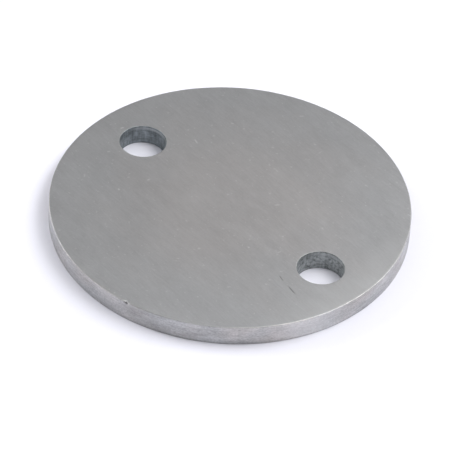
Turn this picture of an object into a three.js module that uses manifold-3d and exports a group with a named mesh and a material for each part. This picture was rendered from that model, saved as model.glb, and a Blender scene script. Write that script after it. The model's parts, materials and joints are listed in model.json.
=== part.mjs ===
// Two-bolt blind flange: one flat round steel plate that closes off a pipe end, with two clear bolt holes
// on one diameter. It has no bore, hub or raised face, so the whole underside is the gasket face.
//
// Millimetres, +Z up. The origin is the centre of the gasket face, the plate rises from z = 0, and both bolt
// holes have their centres on the X axis.
import * as THREE from "three";
import { mergeVertices } from "three/addons/utils/BufferGeometryUtils.js";
import Module from "manifold-3d";

// Driving dimensions.
const PLATE_DIAMETER = 100;
const PLATE_THICKNESS = 6;
const BOLT_CIRCLE_DIAMETER = 70;
const BOLT_COUNT = 2;
const BOLT_HOLE_DIAMETER = 13; // clearance for an M12 bolt
const RIM_EDGE_BREAK = 0.15; // 45 degree chamfer on both rim edges
const HOLE_EDGE_BREAK = 0.1; // 45 degree deburr on both ends of each bolt hole

// How finely the round surfaces are divided.
const RIM_SEGMENTS = 180;
const HOLE_SEGMENTS = 64;

const CUTTER_OVERSHOOT = 1; // how far a hole cutter runs past each face of the plate

const STEEL = { color: 0x9d9d9d, roughness: 0.45, metalness: 1 };

const wasm = await Module();
wasm.setup();

// A closed three.js geometry as a manifold-3d solid.
function solidFrom(geometry) {
  const bare = geometry.clone();
  bare.deleteAttribute("normal");
  bare.deleteAttribute("uv");
  const merged = mergeVertices(bare);
  return new wasm.Manifold(
    new wasm.Mesh({
      numProp: 3,
      vertProperties: merged.attributes.position.array,
      triVerts: new Uint32Array(merged.index.array),
    }),
  );
}

// A manifold-3d solid as a flat-shaded three.js geometry.
function geometryFrom(solid) {
  const { vertProperties, triVerts } = solid.getMesh();
  const indexed = new THREE.BufferGeometry();
  indexed.setAttribute("position", new THREE.BufferAttribute(vertProperties, 3));
  indexed.setIndex(new THREE.BufferAttribute(triVerts, 1));
  const flat = indexed.toNonIndexed();
  flat.computeVertexNormals();
  return flat;
}

// A solid of revolution about Z. The profile is a list of [radius, z] that starts and ends on the axis, and it
// runs upwards.
function turned(profile, segments) {
  const points = profile.map(([radius, z]) => new THREE.Vector2(radius, z));
  return new THREE.LatheGeometry(points, segments).rotateX(Math.PI / 2);
}

// The round blank, with both rim edges broken.
function plateBlank() {
  const radius = PLATE_DIAMETER / 2;
  const flatRadius = radius - RIM_EDGE_BREAK;
  return turned(
    [
      [0, 0],
      [flatRadius, 0],
      [radius, RIM_EDGE_BREAK],
      [radius, PLATE_THICKNESS - RIM_EDGE_BREAK],
      [flatRadius, PLATE_THICKNESS],
      [0, PLATE_THICKNESS],
    ],
    RIM_SEGMENTS,
  );
}

// What one drill and its deburring tool take away: a straight hole that flares at 45 degrees through each
// face.
function boltHoleCutter() {
  const radius = BOLT_HOLE_DIAMETER / 2;
  const flaredRadius = radius + HOLE_EDGE_BREAK + CUTTER_OVERSHOOT;
  return turned(
    [
      [0, -CUTTER_OVERSHOOT],
      [flaredRadius, -CUTTER_OVERSHOOT],
      [radius, HOLE_EDGE_BREAK],
      [radius, PLATE_THICKNESS - HOLE_EDGE_BREAK],
      [flaredRadius, PLATE_THICKNESS + CUTTER_OVERSHOOT],
      [0, PLATE_THICKNESS + CUTTER_OVERSHOOT],
    ],
    HOLE_SEGMENTS,
  );
}

// The finished plate: the blank with the bolt holes cut, evenly spaced round the bolt circle from +X.
function flangePlate() {
  let plate = solidFrom(plateBlank());
  for (let i = 0; i < BOLT_COUNT; i++) {
    const angle = (i * 2 * Math.PI) / BOLT_COUNT;
    const x = (BOLT_CIRCLE_DIAMETER / 2) * Math.cos(angle);
    const y = (BOLT_CIRCLE_DIAMETER / 2) * Math.sin(angle);
    plate = plate.subtract(solidFrom(boltHoleCutter().translate(x, y, 0)));
  }
  const mesh = new THREE.Mesh(geometryFrom(plate), new THREE.MeshStandardMaterial(STEEL));
  mesh.name = "flange_plate";
  return mesh;
}

const blindFlange = new THREE.Group();
blindFlange.add(flangePlate());

export default blindFlange;
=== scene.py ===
"""Looks of the two-bolt blind flange: one ground steel plate with a finished rim and two drilled bolt holes.

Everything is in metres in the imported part's frame: the gasket face lies on z = 0 and +Z runs out of the
outer face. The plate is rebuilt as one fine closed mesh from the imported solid's sizes. Its edge breaks are
rounded, its rim and bores carry faint tool marks, and the knock and the scratches of handling are real dents.
"""

import json
import math
from collections import namedtuple

import bpy
from mathutils import Matrix, Vector, geometry, noise


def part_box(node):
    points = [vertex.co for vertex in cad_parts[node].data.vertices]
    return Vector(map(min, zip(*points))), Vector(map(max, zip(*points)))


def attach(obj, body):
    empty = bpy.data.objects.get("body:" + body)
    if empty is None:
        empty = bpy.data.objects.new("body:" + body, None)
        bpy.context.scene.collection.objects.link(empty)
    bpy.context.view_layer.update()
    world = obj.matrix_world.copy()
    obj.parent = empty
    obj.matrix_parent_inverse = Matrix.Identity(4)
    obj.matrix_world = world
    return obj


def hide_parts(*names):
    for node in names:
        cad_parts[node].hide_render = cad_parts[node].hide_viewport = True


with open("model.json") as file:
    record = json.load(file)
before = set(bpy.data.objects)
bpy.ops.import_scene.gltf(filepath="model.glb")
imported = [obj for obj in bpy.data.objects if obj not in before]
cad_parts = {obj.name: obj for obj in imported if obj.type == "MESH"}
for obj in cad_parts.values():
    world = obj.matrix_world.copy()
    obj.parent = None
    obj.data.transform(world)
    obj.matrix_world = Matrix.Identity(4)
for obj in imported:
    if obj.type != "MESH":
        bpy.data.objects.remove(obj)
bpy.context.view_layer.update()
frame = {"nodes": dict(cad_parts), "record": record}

MM = 0.001
TINY = 1e-6  # a thousandth of a millimetre, for points that should lie exactly on a face
NODE = "flange_plate"

# ---- The plate's sizes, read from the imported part


def opening_centre(opening):
    """The middle of one of the record's opening boxes, seen from above."""
    low, high = (Vector(corner) for corner in opening["box_m"])
    return ((low + high) / 2).to_2d()


_, plate_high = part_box(NODE)
RADIUS = plate_high.x
THICKNESS = plate_high.z
CAD_POINTS = [vertex.co.copy() for vertex in frame["nodes"][NODE].data.vertices]
FACE_POINTS = [point.to_2d() for point in CAD_POINTS if point.z > THICKNESS - TINY]
HOLE_CENTRES = [opening_centre(o) for o in frame["record"]["physics"]["openings"]]
HOLE_RADIUS = min((point.to_2d() - HOLE_CENTRES[0]).length for point in CAD_POINTS)
RIM_EDGE = RADIUS - max(point.length for point in FACE_POINTS)  # how far the edge breaks reach in and down
BORE_EDGE = min((point - HOLE_CENTRES[0]).length for point in FACE_POINTS) - HOLE_RADIUS

# ---- How the mesh is divided, and the small shapes that only it has

RIM_STEPS = 720
BORE_STEPS = 160
EDGE_STEPS = 6  # facets across each rounded edge break
WALL_ROWS = 16
GRID_STEP = 4 * MM  # loose points that keep the flat faces' triangles compact
BORDER_INSET = 0.25 * MM  # a ring of points this far inside each border keeps the faces' shading flat
GRID_MARGIN = 4 * BORDER_INSET  # how far the grid's points stay from the borders
FINE_MARGIN = 1.4 * BORDER_INSET  # and how far the points that carry marks do
MARK_STEPS_ACROSS = 4  # spaces between points across a mark
MARK_STEPS_ALONG = 40  # and along it, unless the spaces across are wider
MARK_ROWS = 7  # rows of points on each side of a mark's middle line
MERGE_DISTANCE = 0.0001 * MM  # points of a flat face closer than this become one

EDGE_PAINTED_SHADE = 0.22  # painted shade on the rim's edge breaks, a little darker than what they join, to dim their highlight
EDGE_ROUNDNESS = 0.85  # 0 is a flat chamfer and 1 a quarter round
RIM_EDGE_SWAY = 0.3  # share by which the rim's edge break widens and narrows round it
RIM_EDGE_DETAIL = 9.0  # how quickly it does so: higher numbers change faster round the circle
RIM_RELIEF = 0.010 * MM  # depth of the rim's tool marks
RIM_RELIEF_DETAIL = 14.0
RIM_RELIEF_HEIGHT = 0.35 * MM  # height over which those marks change
BORE_RELIEF = 0.030 * MM
BORE_RELIEF_DETAIL = 5.0
BORE_RELIEF_HEIGHT = 0.6 * MM
RELIEF_FADE = 0.5 * MM  # tool marks fade out over this height towards each edge break
ENTRY_DEPTH = 0.75 * MM  # the drill wandered over this depth before it settled
ENTRY_WIDENING = 0.04 * MM
# The drill's lands rubbed a bright band into each bore below that depth, brightest towards RUB_ANGLE.
RUB_WIDTH = 0.25 * MM
RUB_ANGLE = math.radians(100)
RUB_STRENGTHS = (0.55, 0.3)
RUB_CUTOFF = 3  # this many widths from its middle, the band is over
BORE_TOLERANCE = 0.1 * MM  # slack when a bore's wall points are picked by their distance from its axis

# Material slots of the plate's mesh.
FACE, RIM, FIRST_BORE, SECOND_BORE = range(4)

# A knock on the outer rim edge: its place round the rim, its reach, its depth and the tone of the painted
# shade in it.
KNOCK_ANGLE = math.radians(281.5)
KNOCK_REACH = 0.48 * MM
KNOCK_DEPTH = 0.36 * MM
KNOCK_SHADE_TONE = -2.4  # painted shade: below -1, so that the whole middle of the hollow is dark
KNOCK_STEP = 0.08 * MM  # spacing of the points that carry it
KNOCK_SPAN = 3  # those points reach this many times KNOCK_REACH from its middle
KNOCK_CUTOFF = 4 * KNOCK_REACH  # beyond this, neither it nor the painted highlight beside it shows
KNOCK_HIGHLIGHT_SHIFT = 0.75 * MM  # a painted highlight beside the hollow, this far round the rim
KNOCK_HIGHLIGHT_REACH = 0.7 * KNOCK_REACH
KNOCK_HIGHLIGHT_TONE = 0.8

# Brighter and darker patches of the rim, partly rubbed and dull metal and partly painted light and shade:
# place round it and half width in degrees, and tone.
RIM_WEAR_AND_LIGHT_PATCHES = (
    (-19, 9, 0.30),
    (-71, 7, -0.18),
    (-55, 22, -0.08),
    (-130, 8, 0.10),
)

# Marks on the outer face. x and y are a mark's centre, and turn is its angle from +X in degrees. The rest
# are millimetres, but for tone: 1 is the brightest, a painted glint on the nicks, and -1 the darkest.
Mark = namedtuple("Mark", "x y length width turn depth tone")
SCRATCHES = (
    (36.0, -12.2, 3.1, 0.30, -13, 0.06, -1.0),
    (30.8, -11.0, 2.1, 0.28, -18, 0.04, -0.7),
    (28.9, -9.0, 0.8, 0.40, 30, 0.03, 0.3),
)
NICK_GLINTS = (
    (-25.2, 11.2, 1.9, 0.36, -20, 0.03, 0.64),
    (-43.1, -0.4, 1.1, 0.40, 70, 0.03, 0.72),
    (-24.0, 24.3, 0.9, 0.40, 25, 0.03, 0.48),
    (-20.2, 25.1, 0.7, 0.40, 80, 0.02, 0.40),
    (-13.3, 41.3, 1.4, 0.35, 50, 0.03, 0.48),
    (-4.4, 19.6, 0.7, 0.45, 0, 0.02, 0.40),
    (0.2, 23.6, 0.6, 0.40, 45, 0.02, 0.40),
    (8.9, 9.3, 1.2, 0.40, 55, 0.03, 0.56),
    (24.0, 11.8, 0.9, 0.40, -40, 0.02, 0.32),
    (23.0, -3.8, 1.2, 0.35, 80, 0.02, 0.32),
    (16.1, -8.8, 0.6, 0.45, 10, 0.03, 0.56),
    (-22.2, -10.0, 1.0, 0.45, 85, 0.03, 0.48),
    (-38.2, -10.2, 0.8, 0.45, 60, 0.03, 0.48),
    (-24.7, -19.0, 0.8, 0.45, -10, 0.03, 0.64),
    (-35.2, -22.2, 1.2, 0.40, -45, 0.02, 0.40),
)
MARKS = [Mark(*numbers) for numbers in SCRATCHES + NICK_GLINTS]


# ---- Marks


def mark_reach(mark, point):
    """How strongly a mark touches a point of the outer face, from 0 to 1."""
    offset = Vector((point.x - mark.x * MM, point.y - mark.y * MM))
    if offset.length > (mark.length + mark.width) * MM:
        return 0.0
    offset.rotate(Matrix.Rotation(-math.radians(mark.turn), 2))
    along = abs(offset.x) / (mark.length * MM / 2)
    across = abs(offset.y) / (mark.width * MM / 2)
    return math.exp(-(along**4) - across**2)


def mark_points(mark):
    """Closely spaced points that carry one mark."""
    step_across = mark.width * MM / MARK_STEPS_ACROSS
    step_along = max(step_across, mark.length * MM / MARK_STEPS_ALONG)
    count_along = math.ceil((mark.length * MM / 2 + mark.width * MM) / step_along)
    spin = Matrix.Rotation(math.radians(mark.turn), 2)
    centre = Vector((mark.x * MM, mark.y * MM))
    return [
        centre + spin @ Vector((i * step_along, j * step_across))
        for i in range(-count_along, count_along + 1)
        for j in range(-MARK_ROWS, MARK_ROWS + 1)
    ]


def knock_centre():
    return on_circle(Vector((0, 0)), RADIUS, KNOCK_ANGLE).to_3d() + Vector((0, 0, THICKNESS))


def knock_points():
    """Closely spaced points of the outer face behind the knock on its edge."""
    centre = knock_centre().to_2d()
    reach = math.ceil(KNOCK_SPAN * KNOCK_REACH / KNOCK_STEP)
    return [
        centre + Vector((i, j)) * KNOCK_STEP
        for i in range(-reach, reach + 1)
        for j in range(-reach, reach + 1)
    ]


# ---- Rings of points


def on_circle(centre, radius, angle):
    return Vector((centre.x + radius * math.cos(angle), centre.y + radius * math.sin(angle)))


def round_noise(angle, detail, height=0.0):
    """Smooth noise round a circle with no seam, from -1 to 1."""
    return noise.noise(Vector((detail * math.cos(angle), detail * math.sin(angle), height)))


def edge_break(size):
    """(inset, drop) points across a rounded edge, from the flat face round to the wall."""
    points = []
    for i in range(EDGE_STEPS + 1):
        share = i / EDGE_STEPS
        arc_inset = 1 - math.sin(share * math.pi / 2)
        arc_drop = 1 - math.cos(share * math.pi / 2)
        inset = (1 - share) * (1 - EDGE_ROUNDNESS) + arc_inset * EDGE_ROUNDNESS
        drop = share * (1 - EDGE_ROUNDNESS) + arc_drop * EDGE_ROUNDNESS
        points.append((inset * size, drop * size))
    return points


def wall_section(edge):
    """(inset, z) points from the outer face down to the gasket face, closest together near both edges."""
    upper = [(inset, THICKNESS - drop) for inset, drop in edge_break(edge)]
    lower = [(inset, drop) for inset, drop in reversed(edge_break(edge))]
    straight = THICKNESS - 2 * edge
    middle = []
    for i in range(1, WALL_ROWS):
        share = (1 + math.cos(math.pi * i / WALL_ROWS)) / 2
        middle.append((0.0, edge + straight * share))
    return upper + middle + lower


def wall_share(z, edge):
    """0 on the edge breaks, rising to 1 on the wall between them."""
    clear = min(z, THICKNESS - z) - edge
    return max(0.0, min(1.0, clear / RELIEF_FADE))


def rim_column(angle):
    """The rim's points at one angle, from the outer face down."""
    edge = RIM_EDGE * (1 + RIM_EDGE_SWAY * round_noise(angle, RIM_EDGE_DETAIL))
    column = []
    for inset, z in wall_section(edge):
        relief = RIM_RELIEF * (1 + round_noise(angle, RIM_RELIEF_DETAIL, z / RIM_RELIEF_HEIGHT)) / 2
        reach = RADIUS - inset - relief * wall_share(z, edge)
        column.append(on_circle(Vector((0, 0)), reach, angle).to_3d() + Vector((0, 0, z)))
    return column


def bore_column(centre, angle):
    """A bolt hole's wall at one angle, from the outer face down."""
    column = []
    for inset, z in wall_section(BORE_EDGE):
        height = z / BORE_RELIEF_HEIGHT + centre.x / MM  # the second term tells the two bores apart
        relief = BORE_RELIEF * (1 + round_noise(angle, BORE_RELIEF_DETAIL, height)) / 2
        reach = HOLE_RADIUS + inset + relief * wall_share(z, BORE_EDGE)
        if THICKNESS - z < ENTRY_DEPTH:
            reach += ENTRY_WIDENING
        column.append(on_circle(centre, reach, angle).to_3d() + Vector((0, 0, z)))
    return column


def rim_angles():
    """Even steps round the rim, with finer ones at the knock."""
    angles = [2 * math.pi * i / RIM_STEPS for i in range(RIM_STEPS)]
    fine = KNOCK_STEP / RADIUS
    count = math.ceil(KNOCK_SPAN * KNOCK_REACH / KNOCK_STEP)
    extra = [KNOCK_ANGLE + i * fine for i in range(-count, count + 1)]
    clear = [a for a in angles if not extra[0] - fine / 2 < a < extra[-1] + fine / 2]
    return sorted(clear + extra)


# ---- The plate's mesh


class Skin:
    """The plate's points, faces and slots while it is being built."""

    def __init__(self):
        self.points = []
        self.faces = []
        self.slots = []

    def add(self, point):
        self.points.append(point)
        return len(self.points) - 1

    def wall(self, columns, slot, inward=False):
        """A closed wall from columns of points in order round it. Returns its first and last rings."""
        grid = [[self.add(point) for point in column] for column in columns]
        for here, after in zip(grid, grid[1:] + grid[:1]):
            for row in range(len(here) - 1):
                quad = [here[row], here[row + 1], after[row + 1], after[row]]
                self.faces.append(quad[::-1] if inward else quad)
                self.slots.append(slot)
        return [column[0] for column in grid], [column[-1] for column in grid]

    def flat_face(self, rim, bores, z, loose, facing_down=False):
        """A flat face between the rim's ring and the bores' rings, with the loose points inside it."""
        border = rim + [i for ring in bores for i in ring]
        flat = [self.points[i].to_2d() for i in border] + loose
        edges = []
        start = 0
        for ring in [rim, *bores]:
            count = len(ring)
            edges += [(start + i, start + (i + 1) % count) for i in range(count)]
            start += count
        # Output type 1 keeps the triangles inside the outermost ring.
        made, _, triangles, origins, _, _ = geometry.delaunay_2d_cdt(flat, edges, [], 1, MERGE_DISTANCE)
        index = []
        for place, origin in zip(made, origins):
            on_border = origin and origin[0] < len(border)
            index.append(border[origin[0]] if on_border else self.add(place.to_3d() + Vector((0, 0, z))))
        holes = [set(ring) for ring in bores]
        for triangle in triangles:
            face = [index[i] for i in triangle]
            if any(hole.issuperset(face) for hole in holes):
                continue  # it spans the open hole, because all its corners are on one bore's ring
            self.faces.append(face[::-1] if facing_down else face)
            self.slots.append(FACE)


def well_inside(point, margin):
    """True if a point of a flat face is at least margin from the rim's and the bores' edge breaks."""
    if point.length > RADIUS - RIM_EDGE * (1 + RIM_EDGE_SWAY) - margin:
        return False
    bore = HOLE_RADIUS + ENTRY_WIDENING + BORE_EDGE + margin
    return all((point - centre).length > bore for centre in HOLE_CENTRES)


def grid_points():
    """Loose points over a whole face, in staggered rows, with a ring just inside each border."""
    count = math.ceil(RADIUS / GRID_STEP)
    points = [
        Vector(((i + (j % 2) / 2) * GRID_STEP, j * GRID_STEP * math.sqrt(3) / 2))
        for i in range(-count - 1, count + 1)
        for j in range(-count - 2, count + 3)
    ]
    points = [p for p in points if well_inside(p, GRID_MARGIN)]
    rim_ring = RADIUS - RIM_EDGE * (1 + RIM_EDGE_SWAY) - BORDER_INSET
    bore_ring = HOLE_RADIUS + ENTRY_WIDENING + BORE_EDGE + BORDER_INSET
    points += [on_circle(Vector((0, 0)), rim_ring, 2 * math.pi * i / RIM_STEPS) for i in range(RIM_STEPS)]
    for centre in HOLE_CENTRES:
        points += [on_circle(centre, bore_ring, 2 * math.pi * i / BORE_STEPS) for i in range(BORE_STEPS)]
    return points


def marked(point):
    """(dent depth, tone) that the outer face's marks give a point."""
    reaches = [mark_reach(mark, point) for mark in MARKS]
    depth = max(reach * mark.depth * MM for reach, mark in zip(reaches, MARKS))
    tone = sum(reach * mark.tone for reach, mark in zip(reaches, MARKS))
    return depth, tone


def entry_rub(point):
    """Tone of the bright band that the drill rubbed on one side of each bore, below where it settled."""
    depth = (THICKNESS - point.z - ENTRY_DEPTH) / RUB_WIDTH
    if abs(depth) > RUB_CUTOFF:
        return 0.0
    for centre, strength in zip(HOLE_CENTRES, RUB_STRENGTHS):
        arm = point.to_2d() - centre
        if HOLE_RADIUS - BORE_TOLERANCE < arm.length < HOLE_RADIUS + BORE_RELIEF + ENTRY_WIDENING:
            facing = max(0.0, math.cos(math.atan2(arm.y, arm.x) - RUB_ANGLE))
            return strength * facing * math.exp(-(depth**2))
    return 0.0


def rim_wear_and_painted_light(point):
    """Tone of the rim's patches at a point: partly rubbed and dull metal, partly painted light and shade."""
    if point.to_2d().length < RADIUS - RIM_EDGE:
        return 0.0
    place = math.degrees(math.atan2(point.y, point.x))
    return sum(tone * math.exp(-(((place - centre) / width) ** 4)) for centre, width, tone in RIM_WEAR_AND_LIGHT_PATCHES)


def edge_painted_shade(point):
    """Tone of the rim's edge breaks: painted shade, a little darker than what they join, to dim their
    highlight.
    """
    depth = min(point.z, THICKNESS - point.z)
    on_rim = point.to_2d().length > RADIUS - RIM_EDGE * (1 + RIM_EDGE_SWAY)
    return -EDGE_PAINTED_SHADE if on_rim and TINY < depth < RIM_EDGE * (1 + RIM_EDGE_SWAY) else 0.0


def knocked(point):
    """(push, tone) that the knock gives a point near it: painted shade in the hollow, a painted highlight
    beside it.
    """
    centre = knock_centre()
    inward = on_circle(Vector((0, 0)), -1, KNOCK_ANGLE).to_3d()
    along = inward.cross(Vector((0, 0, 1)))
    hollow = math.exp(-(((point - centre).length / KNOCK_REACH) ** 2))
    knock_highlight = math.exp(-(((point - centre - along * KNOCK_HIGHLIGHT_SHIFT).length / KNOCK_HIGHLIGHT_REACH) ** 2))
    push = (inward - Vector((0, 0, 1))).normalized() * KNOCK_DEPTH * hollow
    return push, KNOCK_HIGHLIGHT_TONE * knock_highlight + KNOCK_SHADE_TONE * hollow


def dented(points):
    """Presses the marks and the knock into the outer face. Returns each point's tone, painted light and shade
    included.
    """
    tones = []
    centre = knock_centre()
    for point in points:
        tone = entry_rub(point) + rim_wear_and_painted_light(point) + edge_painted_shade(point)
        if point.z > THICKNESS - TINY:
            depth, mark_tone = marked(point)
            point.z -= depth
            tone += mark_tone
        if (point - centre).length < KNOCK_CUTOFF:
            push, knock_light_and_shade = knocked(point)
            point += push
            tone += knock_light_and_shade
        tones.append(max(-1.0, min(1.0, tone)))
    return tones


def plate_mesh():
    """The whole plate as one closed mesh, with each point's tone as an attribute."""
    skin = Skin()
    rim_top, rim_bottom = skin.wall([rim_column(angle) for angle in rim_angles()], RIM)
    bore_angles = [2 * math.pi * i / BORE_STEPS for i in range(BORE_STEPS)]
    bores = [
        skin.wall([bore_column(centre, angle) for angle in bore_angles], slot, inward=True)
        for centre, slot in zip(HOLE_CENTRES, (FIRST_BORE, SECOND_BORE))
    ]
    tops = [top for top, _ in bores]
    bottoms = [bottom for _, bottom in bores]
    fine = knock_points() + [p for mark in MARKS for p in mark_points(mark)]
    fine = [p for p in fine if well_inside(p, FINE_MARGIN)]
    skin.flat_face(rim_top, tops, THICKNESS, grid_points() + fine)
    skin.flat_face(rim_bottom, bottoms, 0.0, grid_points(), facing_down=True)
    tones = dented(skin.points)

    mesh = bpy.data.meshes.new("plate")
    mesh.from_pydata(skin.points, [], skin.faces)
    mesh.polygons.foreach_set("material_index", skin.slots)
    mesh.polygons.foreach_set("use_smooth", [True] * len(skin.faces))
    mesh.attributes.new("tone", "FLOAT", "POINT").data.foreach_set("value", tones)
    mesh.validate()
    return mesh


# ---- Materials


class Graph:
    """Short calls for building one material's nodes."""

    def __init__(self, name):
        self.material = bpy.data.materials.new(name)
        self.material.use_nodes = True
        self.tree = self.material.node_tree
        self.shader = self.tree.nodes["Principled BSDF"]
        self.position = self.node("ShaderNodeTexCoord").outputs["Object"]

    def node(self, kind, **settings):
        made = self.tree.nodes.new(kind)
        for name, value in settings.items():
            setattr(made, name, value)
        return made

    def feed(self, socket, value):
        if isinstance(value, bpy.types.NodeSocket):
            self.tree.links.new(value, socket)
        else:
            socket.default_value = value

    def streaks(self, size, turn=0.0, detail=3.0, seed=0.0):
        """Noise from 0 to 1 whose blobs have the given size along X, Y and Z, turned about Z in degrees."""
        place = self.node("ShaderNodeMapping", vector_type="TEXTURE")
        self.feed(place.inputs["Vector"], self.position)
        place.inputs["Rotation"].default_value = (0, 0, math.radians(turn))
        place.inputs["Scale"].default_value = size
        pattern = self.node("ShaderNodeTexNoise", noise_dimensions="4D")
        self.feed(pattern.inputs["Vector"], place.outputs["Vector"])
        pattern.inputs["Scale"].default_value = 1.0
        pattern.inputs["Detail"].default_value = detail
        pattern.inputs["W"].default_value = seed
        return pattern.outputs["Fac"]

    def across(self):
        """Distance from the plate's axis along +X as a share of its radius."""
        split = self.node("ShaderNodeSeparateXYZ")
        self.feed(split.inputs["Vector"], self.position)
        return self.math("DIVIDE", split.outputs["X"], RADIUS)

    def reach(self):
        """Distance from the plate's axis as a share of its radius."""
        flat = self.node("ShaderNodeVectorMath", operation="MULTIPLY")
        self.feed(flat.inputs[0], self.position)
        flat.inputs[1].default_value = (1 / RADIUS, 1 / RADIUS, 0)
        size = self.node("ShaderNodeVectorMath", operation="LENGTH")
        self.feed(size.inputs[0], flat.outputs["Vector"])
        return size.outputs["Value"]

    def fit(self, value, low, high, to_low=0.0, to_high=1.0):
        """value moved from the range low..high to to_low..to_high, and held there."""
        ranger = self.node("ShaderNodeMapRange")
        for name, number in zip(("From Min", "From Max", "To Min", "To Max"), (low, high, to_low, to_high)):
            ranger.inputs[name].default_value = number
        self.feed(ranger.inputs["Value"], value)
        return ranger.outputs["Result"]

    def math(self, operation, first, second):
        made = self.node("ShaderNodeMath", operation=operation)
        self.feed(made.inputs[0], first)
        self.feed(made.inputs[1], second)
        return made.outputs["Value"]

    def mixed(self, *parts):
        """The weighted sum of (pattern, weight) pairs."""
        total = 0.0
        for pattern, weight in parts:
            total = self.math("ADD", self.math("MULTIPLY", pattern, weight), total)
        return total

    def blend(self, share, first, second):
        """A colour between two colours."""
        made = self.node("ShaderNodeMix", data_type="RGBA")
        self.feed(made.inputs["Factor"], share)
        self.feed(made.inputs["A"], first)
        self.feed(made.inputs["B"], second)
        return made.outputs["Result"]

    def tone(self):
        """The mesh's own marks, with painted light and shade among them: (bright share, dark share)."""
        value = self.node("ShaderNodeAttribute", attribute_name="tone").outputs["Fac"]
        return self.fit(value, 0, 1), self.fit(value, 0, -1)

    def bumped(self, height, depth):
        """Relief from a pattern whose full height is depth metres."""
        made = self.node("ShaderNodeBump")
        made.inputs["Distance"].default_value = depth
        self.feed(made.inputs["Height"], height)
        self.feed(self.shader.inputs["Normal"], made.outputs["Normal"])


WARM_STEEL = (1.016, 0.992, 0.996)
COOL_STEEL = (0.988, 0.995, 1.017)
WARM_RIM = (1.030, 0.995, 0.975)
COOL_RIM = (0.995, 1.000, 1.005)
SLATE = (0.922, 1.020, 1.058)
OLIVE = (0.965, 1.020, 1.010)
PLAIN = (1.0, 1.0, 1.0)
BARE_METAL_AND_HIGHLIGHT = 0.85  # the grey of freshly rubbed steel, also used for painted highlights and glints


def shade(value, tint=PLAIN):
    """A near-grey colour: value in each channel, times the tint."""
    return (*(value * channel for channel in tint), 1.0)


def ground_steel():
    """The flat faces: a fine straight grain along X, faint clouds, handling marks, painted glints and painted
    light.
    """
    g = Graph("ground_steel")
    long_grain = g.streaks((6 * MM, 0.45 * MM, 0.45 * MM), turn=-4, detail=4)
    short_grain = g.streaks((2.0 * MM, 0.28 * MM, 0.28 * MM), turn=-4, detail=3, seed=3)
    speckle = g.streaks((0.6 * MM, 0.45 * MM, 0.45 * MM), detail=2, seed=11)
    mottle = g.streaks((5 * MM, 3 * MM, 3 * MM), turn=-4, detail=4, seed=13)
    clouds = g.streaks((26 * MM, 14 * MM, 14 * MM), turn=-4, detail=3, seed=7)
    grain = g.mixed((long_grain, 0.35), (short_grain, 0.35), (speckle, 0.3))
    painted_light_drift = g.fit(g.across(), -1, 1, 0.045, 0.125)  # painted light: the face is lighter towards +X
    pattern = g.math("ADD", painted_light_drift, g.mixed((grain, 0.56), (mottle, 0.15), (clouds, 0.12)))
    # The colour turns cooler towards the rim, unevenly.
    uneven = g.streaks((20 * MM, 15 * MM, 15 * MM), detail=2, seed=17)
    tint = g.fit(g.math("ADD", g.fit(g.reach(), 0.25, 1.0), uneven), 0.6, 1.3)
    dull = g.blend(tint, shade(0.51, WARM_STEEL), shade(0.51, COOL_STEEL))
    clean = g.blend(tint, shade(0.61, WARM_STEEL), shade(0.61, COOL_STEEL))
    colour = g.blend(g.fit(pattern, 0.39, 0.61), dull, clean)
    # Scattered bright specks are painted glints of tiny nicks.
    painted_glint_specks = g.fit(g.streaks((0.9 * MM, 0.9 * MM, 0.9 * MM), detail=1, seed=19), 0.67, 0.76, 0.0, 0.3)
    painted_light_at_edge = g.fit(g.across(), 0.75, 1.0, 0.0, 0.3)  # painted light: paler still towards the +X edge
    bright, dark = g.tone()
    bright = g.math("MAXIMUM", g.math("MAXIMUM", bright, painted_glint_specks), painted_light_at_edge)
    # Bright tones, with the painted glints and the painted light towards +X, pale the face; dark ones, with
    # the knock's painted shade, darken it.
    colour = g.blend(bright, colour, shade(BARE_METAL_AND_HIGHLIGHT))
    colour = g.blend(g.math("MULTIPLY", dark, 0.75), colour, shade(0.13))
    g.feed(g.shader.inputs["Base Color"], colour)
    g.feed(g.shader.inputs["Roughness"], g.fit(pattern, 0.36, 0.64, 0.36, 0.45))
    g.shader.inputs["Metallic"].default_value = 1.0
    g.bumped(grain, 0.006 * MM)
    return g.material


def finished_rim():
    """The rim: streaks that run round it, from a belt or lathe, and paler patches."""
    g = Graph("finished_rim")
    fine = g.streaks((3 * MM, 3 * MM, 0.22 * MM), detail=4, seed=1)
    speckle = g.streaks((0.6 * MM, 0.6 * MM, 0.35 * MM), detail=2, seed=3)
    broad = g.streaks((8 * MM, 8 * MM, 1.1 * MM), detail=3, seed=5)
    patches = g.streaks((9 * MM, 9 * MM, 5 * MM), detail=2, seed=9)
    pattern = g.mixed((fine, 0.28), (speckle, 0.32), (broad, 0.18), (patches, 0.22))
    tint = g.fit(g.streaks((16 * MM, 16 * MM, 8 * MM), detail=1, seed=17), 0.4, 0.6)
    dull = g.blend(tint, shade(0.36, WARM_RIM), shade(0.36, COOL_RIM))
    clean = g.blend(tint, shade(0.60, WARM_RIM), shade(0.60, COOL_RIM))
    colour = g.blend(g.fit(pattern, 0.40, 0.60), dull, clean)
    bright, dark = g.tone()
    # Bright tones, with painted highlights, pale the rim; dark ones, with painted shade on the edges and the
    # knock, darken it.
    colour = g.blend(bright, colour, shade(BARE_METAL_AND_HIGHLIGHT))
    colour = g.blend(g.math("MULTIPLY", dark, 0.8), colour, shade(0.10))
    g.feed(g.shader.inputs["Base Color"], colour)
    g.feed(g.shader.inputs["Roughness"], g.fit(pattern, 0.38, 0.62, 0.52, 0.38))
    g.shader.inputs["Metallic"].default_value = 1.0
    g.bumped(g.mixed((fine, 0.7), (speckle, 0.3)), 0.008 * MM)
    return g.material


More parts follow.
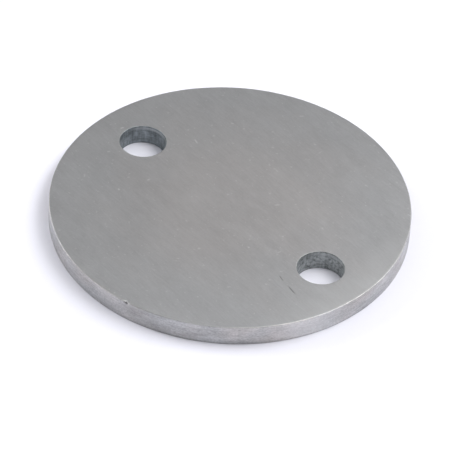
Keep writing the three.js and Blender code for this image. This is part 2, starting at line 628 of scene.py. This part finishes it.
def drilled_steel(name, dull, clean, tint, stain, seed):
    """A bore: dark steel between two greys, with the drill's rings, scores along the hole, and stains."""
    g = Graph(name)
    scores = g.streaks((0.5 * MM, 0.5 * MM, 5 * MM), detail=3, seed=seed)
    rings = g.streaks((6 * MM, 6 * MM, 0.3 * MM), detail=2, seed=seed + 2)
    blotches = g.streaks((2.2 * MM, 2.2 * MM, 1.6 * MM), detail=4, seed=seed + 4)
    stains = g.streaks((0.9 * MM, 0.9 * MM, 0.8 * MM), detail=5, seed=seed + 6)
    pattern = g.mixed((scores, 0.35), (rings, 0.25), (blotches, 0.4))
    colour = g.blend(g.fit(pattern, 0.38, 0.62), shade(dull, tint), shade(clean, tint))
    colour = g.blend(g.fit(stains, 0.48, 0.68, 0, stain), colour, shade(0.09, tint))
    bright, _ = g.tone()
    colour = g.blend(bright, colour, shade(BARE_METAL_AND_HIGHLIGHT))
    g.feed(g.shader.inputs["Base Color"], colour)
    g.feed(g.shader.inputs["Roughness"], g.fit(pattern, 0.38, 0.62, 0.62, 0.42))
    g.shader.inputs["Metallic"].default_value = 1.0
    g.bumped(g.mixed((scores, 0.5), (rings, 0.5)), 0.020 * MM)
    return g.material


def studio_floor():
    """A plain pale floor of matt board."""
    g = Graph("studio_floor")
    fibre = g.streaks((1.5 * MM, 1.5 * MM, 1.5 * MM), detail=3)
    g.feed(g.shader.inputs["Base Color"], g.blend(fibre, (0.73, 0.73, 0.80, 1.0), (0.75, 0.75, 0.82, 1.0)))
    g.shader.inputs["Roughness"].default_value = 0.9
    return g.material


# ---- The plate and the studio


def make_plate():
    mesh = plate_mesh()
    mesh.materials.append(ground_steel())
    mesh.materials.append(finished_rim())
    mesh.materials.append(drilled_steel("drilled_steel_clean", 0.20, 0.37, SLATE, stain=0.3, seed=2))
    mesh.materials.append(drilled_steel("drilled_steel_stained", 0.27, 0.50, OLIVE, stain=0.7, seed=22))
    plate = bpy.data.objects.new("plate", mesh)
    bpy.context.scene.collection.objects.link(plate)
    weighted = plate.modifiers.new("face_weighted_normals", "WEIGHTED_NORMAL")
    weighted.weight = 60
    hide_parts(NODE)
    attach(plate, "root")


def make_floor():
    """A pale board that reaches past every view."""
    reach = 6.0
    drop = 0.05 * MM  # a hair under the gasket face, so that the two never share a plane
    mesh = bpy.data.meshes.new("floor")
    corners = [(-reach, -reach), (reach, -reach), (reach, reach), (-reach, reach)]
    mesh.from_pydata([(x, y, -drop) for x, y in corners], [], [(0, 1, 2, 3)])
    mesh.materials.append(studio_floor())
    floor = bpy.data.objects.new("floor", mesh)
    bpy.context.scene.collection.objects.link(floor)


def view_axes(azimuth, elevation):
    """(right, up, back) of a level camera: azimuth 0 looks along +Y, and elevation is above the horizon."""
    back = Vector(
        (
            math.sin(azimuth) * math.cos(elevation),
            -math.cos(azimuth) * math.cos(elevation),
            math.sin(elevation),
        )
    )
    right = Vector((math.cos(azimuth), math.sin(azimuth), 0))
    return right, back.cross(right), back


def make_camera():
    """A long lens from above, rolled a little, with the plate nearly in the middle of the frame."""
    azimuth = math.radians(43.17)
    elevation = math.radians(41.76)
    right, up, back = view_axes(azimuth, elevation)
    distance = 23.27 * RADIUS
    shift_right = -0.017 * RADIUS
    shift_up = -0.035 * RADIUS
    roll = math.radians(3.62)
    data = bpy.data.cameras.new("camera")
    data.sensor_width = 36.0
    data.lens = 335.0
    data.clip_start = 0.05
    data.clip_end = 40.0
    camera = bpy.data.objects.new("camera", data)
    bpy.context.scene.collection.objects.link(camera)
    rolled_right = right * math.cos(roll) + up * math.sin(roll)
    rolled_up = up * math.cos(roll) - right * math.sin(roll)
    place = Matrix((rolled_right, rolled_up, back)).transposed().to_4x4()
    place.translation = back * distance + right * shift_right + up * shift_up
    camera.matrix_world = place
    bpy.context.scene.camera = camera


def aim(lamp, azimuth, elevation, distance):
    """Puts a lamp on a line from the plate, measured as in view_axes, and turns it to face the plate."""
    _, _, back = view_axes(math.radians(azimuth), math.radians(elevation))
    lamp.location = back * distance
    lamp.rotation_mode = "QUATERNION"
    lamp.rotation_quaternion = back.to_track_quat("Z", "Y")


def make_lamp(name, azimuth, elevation, strength):
    """A broad soft light from far off, in watts per square metre."""
    data = bpy.data.lights.new(name, "SUN")
    data.angle = math.radians(32)
    data.energy = strength
    lamp = bpy.data.objects.new(name, data)
    bpy.context.scene.collection.objects.link(lamp)
    aim(lamp, azimuth, elevation, 1.0)


def make_softbox(name, azimuth, elevation, strength):
    """A small soft light close by, so that one side of the plate is lit more than the other."""
    distance = 0.3
    data = bpy.data.lights.new(name, "AREA")
    data.size = distance / 2
    data.energy = strength * math.pi * distance**2
    lamp = bpy.data.objects.new(name, data)
    bpy.context.scene.collection.objects.link(lamp)
    aim(lamp, azimuth, elevation, distance)


def make_walls():
    """The room beyond the board: dim walls above the horizon, and the board's own pale tone below it."""
    world = bpy.data.worlds.new("studio_walls")
    world.use_nodes = True
    tree = world.node_tree
    direction = tree.nodes.new("ShaderNodeTexCoord")
    split = tree.nodes.new("ShaderNodeSeparateXYZ")
    tree.links.new(direction.outputs["Generated"], split.inputs["Vector"])
    below = tree.nodes.new("ShaderNodeMapRange")
    below.inputs["From Min"].default_value = 0.01
    below.inputs["From Max"].default_value = 0.0
    tree.links.new(split.outputs["Z"], below.inputs["Value"])
    tone = tree.nodes.new("ShaderNodeMix")
    tone.data_type = "RGBA"
    tone.inputs["A"].default_value = shade(0.33)
    tone.inputs["B"].default_value = shade(0.955, (1.0, 1.0, 1.05))
    tree.links.new(below.outputs["Result"], tone.inputs["Factor"])
    tree.links.new(tone.outputs["Result"], tree.nodes["Background"].inputs["Color"])
    bpy.context.scene.world = world


def make_studio():
    """Soft light from high on the right, from behind it and from low on the left, in a dim pale room."""
    make_walls()
    make_lamp("right_high", azimuth=133, elevation=65, strength=1.2)
    make_lamp("left_low", azimuth=292, elevation=25, strength=1.5)
    make_lamp("back_right", azimuth=168, elevation=40, strength=1.1)
    make_lamp("left_fill", azimuth=313, elevation=65, strength=0.5)
    make_lamp("front_fill", azimuth=43, elevation=48, strength=0.1)
    make_softbox("right_near", azimuth=140, elevation=60, strength=0.8)


scene = bpy.context.scene
scene.view_settings.view_transform = "Standard"
make_camera()
make_plate()
make_floor()
make_studio()
